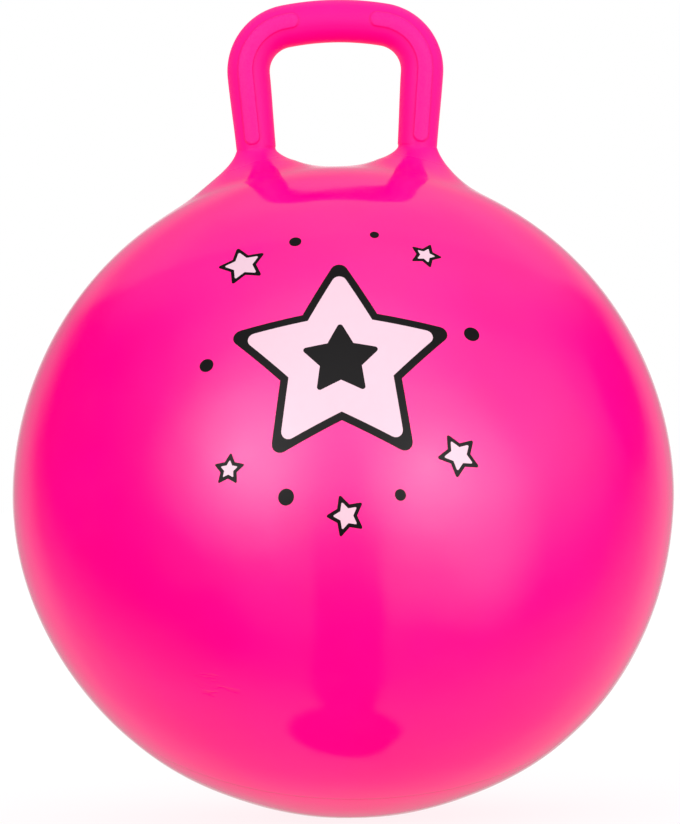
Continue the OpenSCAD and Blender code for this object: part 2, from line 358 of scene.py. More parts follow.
def cut(bm, point, normal, clear=False):
    """Cuts a mesh by a plane, and clears what lies on the normal's side if asked."""
    bmesh.ops.bisect_plane(
        bm, geom=whole(bm), dist=CUT_DISTANCE, plane_co=point, plane_no=normal, clear_outer=clear,
        clear_inner=False,
    )


# Width of the band of faces round the hole for a leg, and round the one for the valve
LEG_BAND = 1.2 * MM
VALVE_BAND = 1.0 * MM


def open_ring(bm, radius, axis, ring_angle, band):
    """Opens a round hole in a sphere about the origin, with a narrow band of faces round it."""
    for turn, clear in ((ring_angle + band / radius, False), (ring_angle, True)):
        cut(bm, axis * radius * math.cos(turn), axis, clear)


def skin_mesh(plan):
    """The ball's skin as an outer surface, with holes for the legs and the valve."""
    s = settings()
    bm = bmesh.new()
    bmesh.ops.create_icosphere(bm, subdivisions=s.ball.fineness, radius=plan.radius)
    for side in (1, -1):
        axis = Vector((side * plan.foot_axis.x, 0, plan.foot_axis.z))
        open_ring(bm, plan.radius, axis, plan.foot_angle, LEG_BAND)
    axis = Vector((0, math.cos(s.valve.elevation), math.sin(s.valve.elevation)))
    open_ring(bm, plan.radius, axis, math.asin(s.valve.seat / 2 / plan.radius), VALVE_BAND)
    for vert in bm.verts:
        vert.co = vert.co.normalized() * plan.radius
        vert.co.z = max(vert.co.z, -plan.middle.z)
        vert.co = plan.settle(vert.co) + plan.middle
    bmesh.ops.recalc_face_normals(bm, faces=bm.faces[:])
    return bm


# Columns of faces round the handle's tube, in degrees: about a strip's edge, the even step, the least gap
EDGE_COLUMNS = (-3.6, -2.1, -0.7, 0.7, 2.1, 3.6)
COLUMN_STEP = 6
COLUMN_GAP = 2.4
# Lengths of its rows: along the bar, at a strip's tip, from there to the corner, and down a leg
BAR_ROW = 2.4 * MM
TIP_ROW = 0.45 * MM
BEND_ROW = 1.6 * MM
LEG_ROW = 1.8 * MM
# Numbers of its rows: round a corner, from the leg to the kink above the foot, and down the foot's flare
CORNER_ROWS = 36
KINK_ROWS = 7
FLARE_ROWS = 28
# Length of the fine rows at a strip's tip, in strip widths
TIP_SHARE = 0.65
# Width of the edge that each foot tucks under the skin's rim, and its depth there
TUCK_WIDTH = 1.0 * MM
TUCK_DEPTH = 0.12 * MM


def tube_angles(plan):
    """Angles round the tube from its outward side, with close columns at the strips' edges."""
    handle = settings().handle
    edges = [
        math.acos((handle.strip_shift + side * handle.strip_width / 2) / plan.tube) for side in (1, -1)
    ]
    close = [e + math.radians(step) for e in edges for step in EDGE_COLUMNS]
    even = [math.radians(a) for a in range(0, 181, COLUMN_STEP)]
    front = sorted(close + [a for a in even if all(abs(a - c) > math.radians(COLUMN_GAP) for c in close)])
    return front + [2 * math.pi - a for a in reversed(front[1:-1])]


def turn_on(bm, ring, centre, swing, steps):
    """Spins an open ring of vertices about a Y axis through the centre. Returns the last ring."""
    out = bmesh.ops.spin(
        bm, geom=ring + edges_among(ring), cent=centre, axis=(0, 1, 0), angle=swing, steps=steps,
        use_duplicate=False,
    )
    return verts_in(out["geom_last"])


def draw_on(bm, ring):
    """Extrudes an open ring of vertices in place. Returns the new ring."""
    return verts_in(bmesh.ops.extrude_edge_only(bm, edges=edges_among(ring))["geom"])


def bar_and_leg(bm, plan):
    """Half of the bar, an upper corner and the straight of a leg. Returns the last ring."""
    angles = tube_angles(plan)
    ring = bmesh.ops.create_circle(bm, cap_ends=False, segments=len(angles), radius=plan.tube)["verts"]
    for vert, turn in zip(ring, angles):
        vert.co = (0, -plan.tube * math.sin(turn), plan.bar_z + plan.tube * math.cos(turn))
    tip_length = settings().handle.strip_width * TIP_SHARE
    tip = plan.strip_start - tip_length / plan.strip_bar
    for start, end, row in (
        (0, tip, BAR_ROW),
        (tip, plan.strip_start, TIP_ROW),
        (plan.strip_start, plan.arch_half, BEND_ROW),
    ):
        ring = turn_on(bm, ring, plan.arch_hub, end - start, math.ceil((end - start) * plan.arch / row))
    ring = turn_on(bm, ring, plan.corner_hub, plan.corner_swing, CORNER_ROWS)
    tip = plan.strip_leg + tip_length
    for start, end, row in ((0, plan.strip_leg, LEG_ROW), (plan.strip_leg, tip, TIP_ROW)):
        rows = math.ceil((end - start) / row)
        for _ in range(rows):
            ring = draw_on(bm, ring)
            bmesh.ops.translate(bm, verts=ring, vec=-plan.leg_up * (end - start) / rows)
    return ring


def flare_place(plan, point):
    """Distance of a point from the foot's axis, height along the axis, and its direction off the axis."""
    up = point.dot(plan.foot_axis)
    off = point - up * plan.foot_axis
    return off.length, up, off.normalized()


def flare_point(plan, direction, turn):
    """The point of the foot's flare at an angle round the flare's circle, in a direction off the axis."""
    out = plan.flare_x + plan.flare * math.cos(turn)
    up = plan.flare_z + plan.flare * math.sin(turn)
    return out * direction + up * plan.foot_axis


# The kink is looked for from this far above the end of the leg's axis to this far below it, by halving
KINK_ABOVE = 26 * MM
KINK_BELOW = 2 * MM
KINK_HALVINGS = 30


def kink_point(plan, point):
    """Where the line down the leg through a point of its surface meets the foot's flare."""
    def outside(drop):
        off, up, _ = flare_place(plan, point - drop * plan.leg_up)
        return math.hypot(off - plan.flare_x, up - plan.flare_z) > plan.flare
    left = plan.leg_length - (plan.leg_top - point).dot(plan.leg_up)
    low, high = left - KINK_ABOVE, left + KINK_BELOW
    for _ in range(KINK_HALVINGS):
        half = (low + high) / 2
        low, high = (low, half) if outside(half) else (half, high)
    return point - high * plan.leg_up


def add_foot(bm, plan, ring):
    """A foot from the leg's last ring to the edge under the skin's rim. Returns its rings but the last."""
    rings = []
    for left in range(KINK_ROWS, 0, -1):
        ring = draw_on(bm, ring)
        for vert in ring:
            vert.co = vert.co.lerp(kink_point(plan, vert.co), 1 / left)
        rings.append(ring)
    end_turn = -math.pi / 2 - plan.foot_angle
    for left in range(FLARE_ROWS, 0, -1):
        ring = draw_on(bm, ring)
        for vert in ring:
            off, up, direction = flare_place(plan, vert.co)
            turn = math.atan2(up - plan.flare_z, off - plan.flare_x)
            vert.co = flare_point(plan, direction, turn + (end_turn - turn) / left)
        rings.append(ring)
    tuck = plan.foot_angle + TUCK_WIDTH / plan.radius
    for vert in draw_on(bm, ring):
        direction = flare_place(plan, vert.co)[2]
        spoke = math.cos(tuck) * plan.foot_axis + math.sin(tuck) * direction
        vert.co = (plan.radius - TUCK_DEPTH) * spoke
    return rings


# The kink's rounding: the rings that it takes in, its rounds, their strength, and how much of the sharp kink
# is kept towards the loop's outer side
KINK_RINGS = slice(1, 17)
KINK_ROUNDS = 60
KINK_FACTOR = 0.5
OUTER_SIDE = (-0.6, 0.9)
OUTER_KEPT = 0.85


def soften_kink(bm, plan, rings):
    """Rounds the line where a leg meets its foot, more on the loop's inner side than on the outer."""
    soft = [v for ring in rings[KINK_RINGS] for v in ring]
    before = {v: v.co.copy() for v in soft}
    for _ in range(KINK_ROUNDS):
        bmesh.ops.smooth_vert(
            bm, verts=soft, factor=KINK_FACTOR, use_axis_x=True, use_axis_y=True, use_axis_z=True
        )
    for vert in soft:
        along = (plan.leg_top - vert.co).dot(plan.leg_up)
        spoke = (vert.co - (plan.leg_top - along * plan.leg_up)).normalized()
        outer = smoothstep(*OUTER_SIDE, spoke.dot(plan.leg_out))
        vert.co = vert.co.lerp(before[vert], OUTER_KEPT * outer)


# Height of a leg's slimmest place above its end, and heights above the skin where the foot fills out
SLIM_PLACE = 16 * MM
SLIM_FADE = (1 * MM, 17 * MM)


def slim_legs(bm, plan):
    """Tapers the legs towards their lower ends, and lets the feet run out to their full size again."""
    slim = settings().handle.leg_slim
    for vert in bm.verts:
        along = (plan.leg_top - vert.co).dot(plan.leg_up)
        if along > 0 and vert.co.x > 0:
            centre = plan.leg_top - along * plan.leg_up
            loss = slim * smoothstep(0.0, plan.leg_length - SLIM_PLACE, along)
            loss *= smoothstep(*SLIM_FADE, vert.co.length - plan.radius)
            vert.co = centre + (vert.co - centre) * (1 - loss)


# The strips' marks for the material (the edge mark carries painted shade), the least height of a strip above
# the ball, and the edge mark's reach
STRIP_MARKS = ("strip_edge", "strip_top")
STRIP_FLOOR = 6 * MM
MARK_REACH = 0.55 * MM


def raise_strips(bm, plan):
    """Lifts the grip strips off the tube, and marks their edges for painted shade and their tops for the
    material.
    """
    edge_shade_mark, top_mark = (bm.verts.layers.float[mark] for mark in STRIP_MARKS)
    handle = settings().handle
    half_width, slope = handle.strip_width / 2, handle.strip_wall / 2
    for vert in bm.verts:
        point = vert.co
        if point.z < plan.radius + STRIP_FLOOR:
            continue
        along_leg = (plan.leg_top - point).dot(plan.leg_up)
        swing = math.atan2(point.x, point.z - plan.arch_z)
        beyond = 0.0
        if swing < plan.arch_half:
            outward = Vector((math.sin(swing), 0, math.cos(swing)))
            centre = plan.arch_hub + plan.arch * outward
            beyond = max(0.0, (plan.strip_start - swing) * plan.strip_bar)
        elif along_leg < 0:
            outward = (Vector((point.x, 0, point.z)) - plan.corner_hub).normalized()
            centre = plan.corner_hub + plan.corner * outward
        else:
            outward = plan.leg_out
            centre = plan.leg_top - along_leg * plan.leg_up
            beyond = max(0.0, along_leg - plan.strip_leg)
        spoke = point - centre
        inside = half_width - math.hypot(spoke.dot(outward) - handle.strip_shift, beyond)
        lift = handle.strip_height * smoothstep(-slope, slope, inside)
        vert.co = centre + spoke.normalized() * (spoke.length + lift)
        vert[edge_shade_mark] = math.exp(-((inside + slope) / MARK_REACH) ** 2)
        vert[top_mark] = smoothstep(-slope, slope * 2, inside)


def handle_mesh(plan):
    """The handle's loop with its two flared feet, as an outer surface."""
    bm = bmesh.new()
    for mark in STRIP_MARKS:
        bm.verts.layers.float.new(mark)
    rings = add_foot(bm, plan, bar_and_leg(bm, plan))
    soften_kink(bm, plan, rings)
    slim_legs(bm, plan)
    raise_strips(bm, plan)
    bmesh.ops.mirror(bm, geom=whole(bm), axis="X", merge_dist=MERGE_DISTANCE)
    bmesh.ops.remove_doubles(bm, verts=bm.verts[:], dist=MERGE_DISTANCE)
    bmesh.ops.recalc_face_normals(bm, faces=bm.faces[:])
    for vert in bm.verts:
        vert.co = plan.settle(vert.co) + plan.middle
    return bm


# A star's tips, points on each half of a tip, sides of a dot, the print's reach in large stars, and its grid
STAR_TIPS = 5
TIP_POINTS = 3
DOT_SIDES = 32
PRINT_REACH = 1.45
PRINT_GRID = 5 * MM


def star_outline(size):
    """Points of a star with rounded tips, tip up."""
    p = settings().star_print
    step = math.pi / STAR_TIPS
    notch = size * p.notch
    round_r = size * p.tip_round
    half_tip = math.atan2(notch * math.sin(step), size - notch * math.cos(step))
    round_x = size - round_r / math.sin(half_tip)
    points = []
    for tip in range(STAR_TIPS):
        turn = math.pi / 2 + 2 * step * tip
        for i in range(-TIP_POINTS, TIP_POINTS + 1):
            a = (math.pi / 2 - half_tip) * i / TIP_POINTS
            point = Vector((round_x + round_r * math.cos(a), round_r * math.sin(a)))
            points.append(Matrix.Rotation(turn, 2) @ point)
        points.append(Matrix.Rotation(turn + step, 2) @ Vector((notch, 0)))
    return points


def inner_size(size, line):
    """Size of the star that lies inside another, drawn in by the width of a line."""
    step, notch = math.pi / STAR_TIPS, settings().star_print.notch
    edge = notch * math.sin(step) / math.sqrt(1 + notch ** 2 - 2 * notch * math.cos(step))
    return size - line / edge


def dot_outline(size):
    """Points of a circle."""
    turns = [2 * math.pi * i / DOT_SIDES for i in range(DOT_SIDES)]
    return [Vector((size / 2 * math.cos(turn), size / 2 * math.sin(turn))) for turn in turns]


def add_loop(bm, points, middle, turn):
    """A closed loop of edges through points of the print's plan."""
    place = Matrix.Rotation(turn, 2)
    verts = [bm.verts.new((*(place @ p + middle), 0)) for p in points]
    return [bm.edges.new((verts[i - 1], v)) for i, v in enumerate(verts)]


def add_band(bm, outer, inner, middle, turn):
    """A flat face between two like outlines."""
    edges = add_loop(bm, outer, middle, turn) + add_loop(bm, inner, middle, turn)
    bmesh.ops.bridge_loops(bm, edges=edges)


def add_patch(bm, outline, middle, turn):
    """A flat face within an outline."""
    bmesh.ops.edgenet_fill(bm, edges=add_loop(bm, outline, middle, turn))


STAR_PLACE = (0, 0.04)
# Small stars: place right and up in sizes of the large star, size as a share of the largest one's, and turn
SPARKS = (
    (-0.80, 1.04, 1.0, 12),
    (0.72, 1.10, 0.66, -20),
    (0.94, -0.72, 0.86, 30),
    (-0.92, -0.80, 0.62, -8),
    (0.02, -1.22, 0.78, 18),
)
# Dots: place right and up in sizes of the large star, and size as a share of the largest one's
DOTS = (
    (-0.36, 1.24, 0.8),
    (1.08, 0.34, 1.0),
    (-1.10, 0.10, 0.9),
    (0.46, -1.06, 0.7),
    (-0.46, -1.06, 1.0),
    (0.30, 1.30, 0.6),
)


def print_plan(black):
    """One ink's layer of the print, flat, before it is laid on the ball."""
    p = settings().star_print
    bm = bmesh.new()
    core = star_outline(p.core)
    stars = [(STAR_PLACE, p.star, p.star_line, 0.0)]
    stars += [((x, y), part * p.spark, p.spark_line, math.radians(turn)) for x, y, part, turn in SPARKS]
    for i, (place, size, line, turn) in enumerate(stars):
        middle = Vector(place) * p.star
        field = star_outline(inner_size(size, line))
        if black:
            add_band(bm, star_outline(size), field, middle, turn)
            if i == 0:
                add_patch(bm, core, middle, turn)
        elif i == 0:
            add_band(bm, field, core, middle, turn)
        else:
            add_patch(bm, field, middle, turn)
    if black:
        for x, y, part in DOTS:
            add_patch(bm, dot_outline(part * p.dot), Vector((x, y)) * p.star, 0.0)
    return bm


def lay_print(bm, plan):
    """Cuts a flat plan into small faces and lays it on the ball, just above the skin."""
    p = settings().star_print
    bmesh.ops.triangulate(bm, faces=bm.faces[:])
    lines = math.ceil(PRINT_REACH * p.star / PRINT_GRID)
    for i in range(-lines, lines + 1):
        cut(bm, Vector((i * PRINT_GRID, 0, 0)), Vector((1, 0, 0)))
        cut(bm, Vector((0, i * PRINT_GRID, 0)), Vector((0, 1, 0)))
    place = Matrix.Rotation(math.pi / 2 - p.elevation, 3, "X")
    lift = plan.radius + p.ink
    for vert in bm.verts:
        x, y, _ = vert.co
        vert.co = plan.settle(place @ Vector((x, y, math.sqrt(lift ** 2 - x ** 2 - y ** 2)))) + plan.middle
    bmesh.ops.recalc_face_normals(bm, faces=bm.faces[:])
    inward = [f for f in bm.faces if f.normal.dot(f.calc_center_median() - plan.middle) < 0]
    bmesh.ops.reverse_faces(bm, faces=inward)
    return bm


# Faces round a turned part, faces across a fillet, and rings of the plug's dome
TURNED_FACES = 72
FILLET_FACES = 3
DOME_RINGS = 6


def lathe(profile, plan):
    """Spins a profile of points, each a radius, a height and a fillet, about the valve's axis."""
    bm = bmesh.new()
    verts = [bm.verts.new((r, 0, h)) for r, h, _ in profile]
    pairs = list(zip(verts, verts[1:]))
    if profile[0][0] > 0:
        pairs.append((verts[-1], verts[0]))
    for pair in pairs:
        bm.edges.new(pair)
    for fillet in sorted({p[2] for p in profile if p[2] > 0}):
        chosen = [v for v, p in zip(verts, profile) if p[2] == fillet]
        bmesh.ops.bevel(
            bm, geom=chosen, offset=fillet, offset_type="OFFSET", segments=FILLET_FACES, profile=0.5,
            affect="VERTICES", material=-1,
        )
    bmesh.ops.spin(
        bm, geom=bm.verts[:] + bm.edges[:], cent=(0, 0, 0), axis=(0, 0, 1), angle=2 * math.pi,
        steps=TURNED_FACES, use_merge=True, use_duplicate=False,
    )
    bmesh.ops.remove_doubles(bm, verts=bm.verts[:], dist=MERGE_DISTANCE)
    bmesh.ops.recalc_face_normals(bm, faces=bm.faces[:])
    turn = Matrix.Rotation(settings().valve.elevation - math.pi / 2, 4, "X")
    bmesh.ops.transform(bm, matrix=Matrix.Translation(plan.middle) @ turn, verts=bm.verts[:])
    return bm


def seat_profile(plan):
    """The seat's section, with heights from the ball's middle."""
    v = settings().valve
    top = plan.radius + v.rim_wall
    under = plan.radius - settings().ball.skin
    recess = top - v.head_wall - v.head_fit
    bottom = plan.radius - v.seat_length
    bore, head = v.stem / 2 + v.stem_fit, v.head / 2 + v.head_fit
    body, rim, flange = v.seat / 2, v.rim / 2, v.flange / 2

    def on_sphere(radius, r, fillet=0):
        return r, math.sqrt(radius ** 2 - r ** 2), fillet

    return [
        (bore, bottom, v.edge), (bore, recess, v.edge), (head, recess, v.edge),
        on_sphere(top, head, v.edge), on_sphere(top, rim, v.edge * 2),
        on_sphere(plan.radius, rim), on_sphere(plan.radius, body),
        on_sphere(under, body), on_sphere(under, flange),
        on_sphere(under - v.flange_wall, flange, v.edge), on_sphere(under - v.flange_wall, body),
        (body, bottom, v.edge),
    ]


def plug_profile(plan):
    """The plug's section, from the dome's middle to the tip's."""
    v = settings().valve
    head, stem, tip = v.head / 2, v.stem / 2, v.tip / 2
    foot = plan.radius + v.rim_wall - v.head_wall
    top = foot + v.head_wall
    dome_r = (head ** 2 + v.dome ** 2) / (2 * v.dome)
    peak = top + v.dome
    points = [(0, peak, 0)]
    for i in range(1, DOME_RINGS):
        r = head * i / DOME_RINGS
        points.append((r, peak - dome_r + math.sqrt(dome_r ** 2 - r ** 2), 0))
    points += [(head, top, v.edge), (head, foot, v.edge), (stem, foot, v.edge)]
    end = foot - v.stem_length
    inner = stem - v.groove_depth
    for i in range(v.grooves, 0, -1):
        low = end + v.tip_length + (2 * i - 1) * v.groove
        high = low + v.groove
        points += [(r, h, v.edge / 2) for r, h in ((stem, high), (inner, high), (inner, low), (stem, low))]
    return points + [(stem, end + v.tip_length, v.edge), (tip, end, v.edge), (0, end, 0)]


# Materials

class Nodes:
    """The node tree of a material or of the world, built a node at a time."""

    def __init__(self, owner, place):
        owner.use_nodes = True
        self.nodes = owner.node_tree.nodes
        self.links = owner.node_tree.links
        self.nodes.clear()
        self.place = self.nodes.new("ShaderNodeTexCoord").outputs[place]

    def put(self, socket, value):
        """Sets a socket's constant, or links an output to it."""
        if isinstance(value, bpy.types.NodeSocket):
            self.links.new(value, socket)
        elif hasattr(value, "__len__"):
            value = tuple(value)
            socket.default_value = (*value, 1.0) if socket.type == "RGBA" and len(value) == 3 else value
        else:
            socket.default_value = value

    def add(self, kind, inputs=None, **options):
        """A new node with its options and inputs set. Inputs are named or numbered."""
        node = self.nodes.new(kind)
        for name, value in options.items():
            setattr(node, name, value)
        for name, value in (inputs or {}).items():
            self.put(node.inputs[name], value)
        return node

    def math(self, operation, a, b=0.0, c=0.0):
        return self.add("ShaderNodeMath", {0: a, 1: b, 2: c}, operation=operation).outputs[0]

    def times(self, a, b, plus=None):
        """The product of two values, with a third added to it where there is one."""
        return self.math("MULTIPLY", a, b) if plus is None else self.math("MULTIPLY_ADD", a, b, plus)

    def ramp(self, value, low, high, to_low=0.0, to_high=1.0):
        """A smooth step of a value from one range to another."""
        return self.add("ShaderNodeMapRange", {
            "Value": value, "From Min": low, "From Max": high, "To Min": to_low, "To Max": to_high,
        }, interpolation_type="SMOOTHSTEP").outputs[0]

    def fall(self, value, low, high):
        """One up to low, falling smoothly to zero at high."""
        return self.ramp(value, low, high, 1.0, 0.0)

    def within(self, value, middle, half, soft):
        """One within a range of a value, falling softly to zero at both ends."""
        off = self.math("ABSOLUTE", self.math("SUBTRACT", value, middle))
        return self.fall(off, half - soft, half + soft)

    def between(self, factor, a, b):
        """A value that goes from a to b."""
        return self.add("ShaderNodeMix", {"Factor": factor, "A": a, "B": b}).outputs[0]

    def mix(self, factor, a, b):
        """A colour that goes from a to b."""
        node = self.add("ShaderNodeMix", {"Factor": factor}, data_type="RGBA")
        first, second = (socket for socket in node.inputs if socket.type == "RGBA")
        self.put(first, a)
        self.put(second, b)
        return next(socket for socket in node.outputs if socket.type == "RGBA")

    def split(self):
        """The place's three coordinates."""
        return self.add("ShaderNodeSeparateXYZ", {0: self.place}).outputs

    def compare(self, operation, other):
        """The distance of the place from another, or its dot product with a direction."""
        node = self.add("ShaderNodeVectorMath", {0: self.place, 1: other}, operation=operation)
        return node.outputs["Value"]


class Tree(Nodes):
    """A material with one shader."""

    def __init__(self, name):
        self.material = bpy.data.materials.new(name)
        super().__init__(self.material, "Object")
        self.shader = self.add("ShaderNodeBsdfPrincipled")
        self.output = self.add("ShaderNodeOutputMaterial", {"Surface": self.shader.outputs[0]})

    def noise(self, scale, detail, rough, place=None):
        return self.add("ShaderNodeTexNoise", {
            "Vector": self.place if place is None else place, "Scale": scale, "Detail": detail,
            "Roughness": rough,
        }).outputs[0]

    def patches(self, scale, detail, rough, low, high):
        """Noise as soft patches, from zero at its low value to one at its high value."""
        return self.ramp(self.noise(scale, detail, rough), low, high)

    def finish(self, height=None, **values):
        """Sets the shader's sockets, and its bump from a height in metres. Returns the material."""
        if height is not None:
            bump = self.add("ShaderNodeBump", {"Height": height, "Distance": 1.0, "Strength": 1.0})
            values["Normal"] = bump.outputs[0]
        for name, value in values.items():
            self.put(self.shader.inputs[name.replace("_", " ")], value)
        return self.material


# Noises: scale, detail and roughness, and for patches the low and high value of the noise
CLOUDS = (9.0, 3.0, 0.55, 0.35, 0.7)
SMUDGES = (34.0, 4.0, 0.6, 0.4, 0.75)
RIPPLES = (13.0, 2.0, 0.45)
PEEL = (420.0, 2.0, 0.5)
STIPPLE = (620.0, 2.0, 0.7)
FOLDS = (1.0, 1.0, 0.5)
INK_MOTTLE = (150.0, 3.0, 0.6, 0.3, 0.75)
INK_GRAIN = (900.0, 2.0, 0.5)
PLASTIC_MOTTLE = (220.0, 3.0, 0.6, 0.3, 0.75)
SCUFFS = (1300.0, 3.0, 0.65)
PAPER_GRAIN = (40.0, 2.0, 0.5, 0.3, 0.7)
# Heights and depths of the relief that they give
RIPPLE_HEIGHT = 1.1 * MM
PEEL_HEIGHT = 0.012 * MM
STIPPLE_HEIGHT = 0.06 * MM
LINE_DEPTH = 0.12 * MM
FOLD_DEPTH = 0.2 * MM
INK_GRAIN_HEIGHT = 0.006 * MM
SCUFF_HEIGHT = 0.012 * MM
# Share of the shade tint on the dark hairline (a painted reflection), in the creases and at the strips'
# edges (painted shade)
REFLECTION_LINE_TINT = 0.75
FOLD_SHADE = 0.2
EDGE_SHADE = 0.35
# Noise's range where the stipple shows the strips' colour, and the share of that colour at its ends
STIPPLE_TINT = (0.35, 0.6, 0.45, 1.0)
# Height at which the handle's vinyl is fully satin, roughness that smudges add, and the plastics' IOR
SATIN_HEIGHT = 15 * MM
SMUDGE_ROUGHNESS = 0.035
PLASTIC_IOR = 1.5
# Share of the inks' colours where they are mottled, the roughness that the mottle adds, and their own
INK_DEPTH = 0.985
INK_ROUGHNESS = (0.06, 0.2)
# Roughness that scuffs add to the valve's parts, and the depth to which light enters them
SCUFF_ROUGHNESS = 0.16
LIGHT_DEPTH = 4 * MM

# The dark hairline, a painted reflection of a dark edge under the ball: tilt and turn of its plane, its
# distance from the middle in radii, half its width and its softness, and where it runs out towards the back
LINE_TILT = math.radians(31)
LINE_SIDE = math.radians(-2.3)
LINE_SHARE = 0.55
LINE_WIDTH = (0.45 * MM, 0.315 * MM)
LINE_END = (-0.045, -0.025)
# The small creases: their middle in radii, length and spacing, slope, distances from the middle over which
# they fade out, and the noise's range from bare skin to a full crease
FOLD_SHARES = (-0.37, -0.75, -0.55)
FOLD_SIZE = (16 * MM, 16 * MM, 2.2 * MM)
FOLD_SLOPE = math.radians(9)
FOLD_FADE = (6.6 * MM, 22 * MM)
FOLD_RANGE = (0.54, 0.68)


def vinyl(name, plan, on_ball):
    """Soft vinyl, cloudy and rippled, with fine orange peel, glossy on the ball and satin on the handle,
    with painted shade in the creases and at the strips' edges and a painted reflection as a dark hairline.
    """
    f = settings().finish
    tree = Tree(name)
    base = tree.mix(tree.patches(*CLOUDS), f.pink, f.pink_deep)
    peel = tree.times(tree.noise(*PEEL), PEEL_HEIGHT)
    height = tree.times(tree.noise(*RIPPLES), RIPPLE_HEIGHT, peel)
    if on_ball:
        rough, shine = f.gloss, f.shine
        line, folds = painted_reflection_line(tree, plan), creases(tree, plan)
        # Painted shade darkens the creases, and a painted reflection draws the dark hairline
        base = tree.mix(tree.times(folds, FOLD_SHADE, tree.times(line, REFLECTION_LINE_TINT)), base, f.seam)
        height = tree.times(line, -LINE_DEPTH, tree.times(folds, -FOLD_DEPTH, height))
    else:
        above = tree.compare("DISTANCE", plan.middle)
        satin = (plan.radius, plan.radius + SATIN_HEIGHT)
        rough = tree.ramp(above, *satin, f.gloss, f.grip_gloss)
        shine = tree.ramp(above, *satin, f.shine, f.grip_shine)
        edge, top = (
            tree.add("ShaderNodeAttribute", attribute_name=mark).outputs["Fac"] for mark in STRIP_MARKS
        )
        stipple = tree.noise(*STIPPLE)
        base = tree.mix(tree.times(top, tree.ramp(stipple, *STIPPLE_TINT)), base, f.strip)
        # Painted shade darkens the strips' edges, where the raised strips meet the tube
        base = tree.mix(tree.times(edge, EDGE_SHADE), base, f.seam)
        height = tree.times(tree.times(stipple, top), STIPPLE_HEIGHT, height)
    return tree.finish(
        height, Base_Color=base, Roughness=tree.times(tree.patches(*SMUDGES), SMUDGE_ROUGHNESS, rough),
        IOR=PLASTIC_IOR, Specular_IOR_Level=shine,
    )


def painted_reflection_line(tree, plan):
    """A mask for the painted dark hairline round the lower front, a reflection of a dark edge under the
    ball, where a tilted plane cuts the ball.
    """
    flat = math.cos(LINE_SIDE)
    normal = Vector((math.sin(LINE_SIDE), math.sin(LINE_TILT) * flat, -math.cos(LINE_TILT) * flat))
    level = LINE_SHARE * plan.radius + plan.middle.dot(normal)
    line = tree.within(tree.compare("DOT_PRODUCT", normal), level, *LINE_WIDTH)
    return tree.times(line, tree.fall(tree.split()[1], *LINE_END))


def creases(tree, plan):
    """A few short, fine creases low on the left of the front, as a mask for their relief and their painted
    shade.
    """
    near = tree.fall(tree.compare("DISTANCE", plan.middle + Vector(FOLD_SHARES) * plan.radius), *FOLD_FADE)
    drawn_out = tree.add("ShaderNodeMapping", {
        "Vector": tree.place, "Rotation": (0, FOLD_SLOPE, 0), "Scale": FOLD_SIZE,
    }, vector_type="TEXTURE").outputs[0]
    return tree.times(tree.ramp(tree.noise(*FOLDS, drawn_out), *FOLD_RANGE), near)


def deeper(base, depth):
    """A colour taken down to a share of itself."""
    return [c * depth for c in base]


def ink(name, base, shine):
    """Screen ink with a faint mottle and fine grain."""
    tree = Tree(name)
    mottle = tree.patches(*INK_MOTTLE)
    grain = tree.times(tree.noise(*INK_GRAIN), INK_GRAIN_HEIGHT)
    return tree.finish(
        grain, Base_Color=tree.mix(mottle, base, deeper(base, INK_DEPTH)),
        Roughness=tree.times(mottle, *INK_ROUGHNESS), IOR=PLASTIC_IOR, Specular_IOR_Level=shine,
    )


def small_plastic(name, base, depth, rough, soft):
    """Moulded plastic of the valve's parts, faintly mottled and scuffed."""
    tree = Tree(name)
    scuff = tree.noise(*SCUFFS)
    mottle = tree.patches(*PLASTIC_MOTTLE)
    return tree.finish(
        tree.times(scuff, SCUFF_HEIGHT), Base_Color=tree.mix(mottle, base, deeper(base, depth)),
        Roughness=tree.times(scuff, SCUFF_ROUGHNESS, rough - SCUFF_ROUGHNESS / 2), IOR=PLASTIC_IOR,
        Subsurface_Weight=soft, Subsurface_Scale=LIGHT_DEPTH,
    )


# Operators

class HOPPER_OT_skin(bpy.types.Operator):
    """Make the ball's skin with its vinyl"""

    bl_idname = "hopper.skin"
    bl_label = "Ball skin"

    def execute(self, context):
        plan = Plan()
        shell = add_wall(skin_mesh(plan), settings().ball.skin)
        new_piece("ball_shell", shell, "ball", vinyl("ball vinyl", plan, True), "ball_skin")
        return {"FINISHED"}


class HOPPER_OT_handle(bpy.types.Operator):
    """Make the handle's loop with its feet and grip strips"""

    bl_idname = "hopper.handle"
    bl_label = "Handle loop"

    def execute(self, context):
        plan = Plan()
        tube = add_wall(handle_mesh(plan), settings().handle.wall)
        material = vinyl("handle vinyl", plan, False)
        new_piece("handle_tube", tube, "ball", material, "handle_loop")
        return {"FINISHED"}


class HOPPER_OT_print(bpy.types.Operator):
    """Make both inks of the star print"""

    bl_idname = "hopper.print"
    bl_label = "Star print"

    def execute(self, context):
        plan, f = Plan(), settings().finish
        wall = settings().star_print.ink + settings().star_print.sunk
        for tint, base, shine in (("pale", f.ink_pale, f.shine), ("black", f.ink_black, f.black_shine)):
            film = add_wall(lay_print(print_plan(tint == "black"), plan), wall)
            material = ink(f"print {tint} ink", base, shine)
            new_piece(f"print_{tint}_ink", film, "ball", material, f"print_{tint}")
        return {"FINISHED"}


class HOPPER_OT_valve(bpy.types.Operator):
    """Make the valve's seat and its plug"""

    bl_idname = "hopper.valve"
    bl_label = "Valve"

    def execute(self, context):
        plan, f = Plan(), settings().finish
        seat_vinyl = small_plastic("seat vinyl", f.seat, depth=0.93, rough=0.32, soft=0.15)
        plug_plastic = small_plastic("plug plastic", f.plug, depth=0.95, rough=0.28, soft=0.08)
        seat, plug = lathe(seat_profile(plan), plan), lathe(plug_profile(plan), plan)
        new_piece("valve_seat_ring", seat, "ball", seat_vinyl, "valve_seat")
        new_piece("valve_plug_turned", plug, "plug", plug_plastic, "valve_plug")
        return {"FINISHED"}


